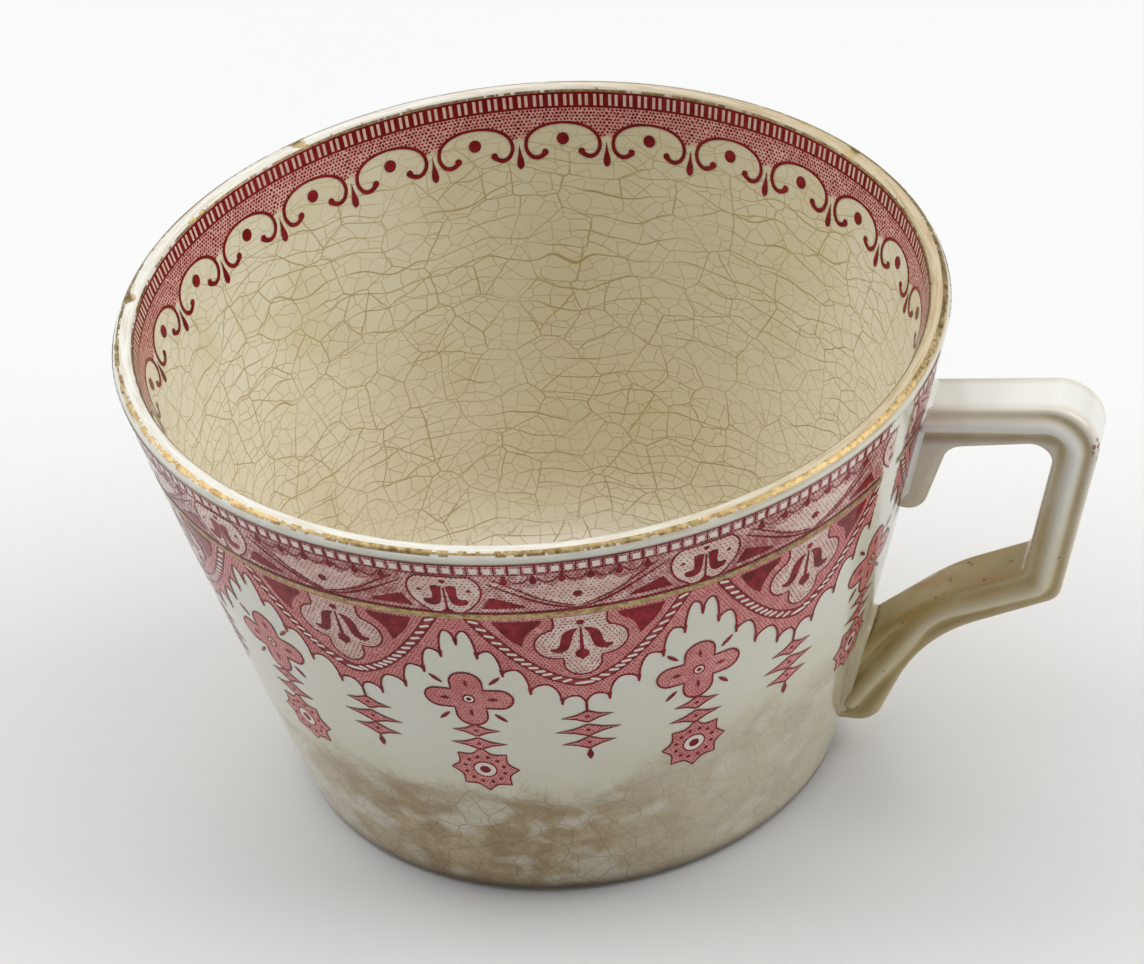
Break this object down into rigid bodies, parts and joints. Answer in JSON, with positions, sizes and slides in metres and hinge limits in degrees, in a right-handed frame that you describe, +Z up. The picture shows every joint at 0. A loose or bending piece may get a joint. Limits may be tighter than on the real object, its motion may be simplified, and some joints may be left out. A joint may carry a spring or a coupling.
{
  "type": "teacup",
  "caption": "Straight-sided earthenware teacup with an angular spurred loop handle, low foot ring, printed bands inside and out, gilt lip and gilt line.",
  "frame": {"origin": "on the bowl's axis, in the plane of the foot", "axes": "+Z up along the bowl's axis, +X towards the handle, so the handle lies in the XZ plane"},
  "size_m": [0.1123, 0.095, 0.0601],
  "materials": {
    "glazed_body": "gloss glaze, finely crazed, tea stained",
    "glazed_handle": "gloss glaze, brown stained in the hollows",
    "slip": "gloss glaze over slip",
    "outer_ink": "crimson under-glaze print, gloss",
    "inner_ink": "crimson under-glaze print, gloss",
    "gilding": "thin worn gold, satin"
  },
  "bodies": {
    "root": {"bowl": "glazed_body", "handle": "glazed_handle", "upper_slip_joint": "slip", "lower_slip_joint": "slip", "outer_transfer_print": "outer_ink", "inner_transfer_print": "inner_ink", "rim_gilding": "gilding", "waist_gilding": "gilding"}
  },
  "joints": []
}
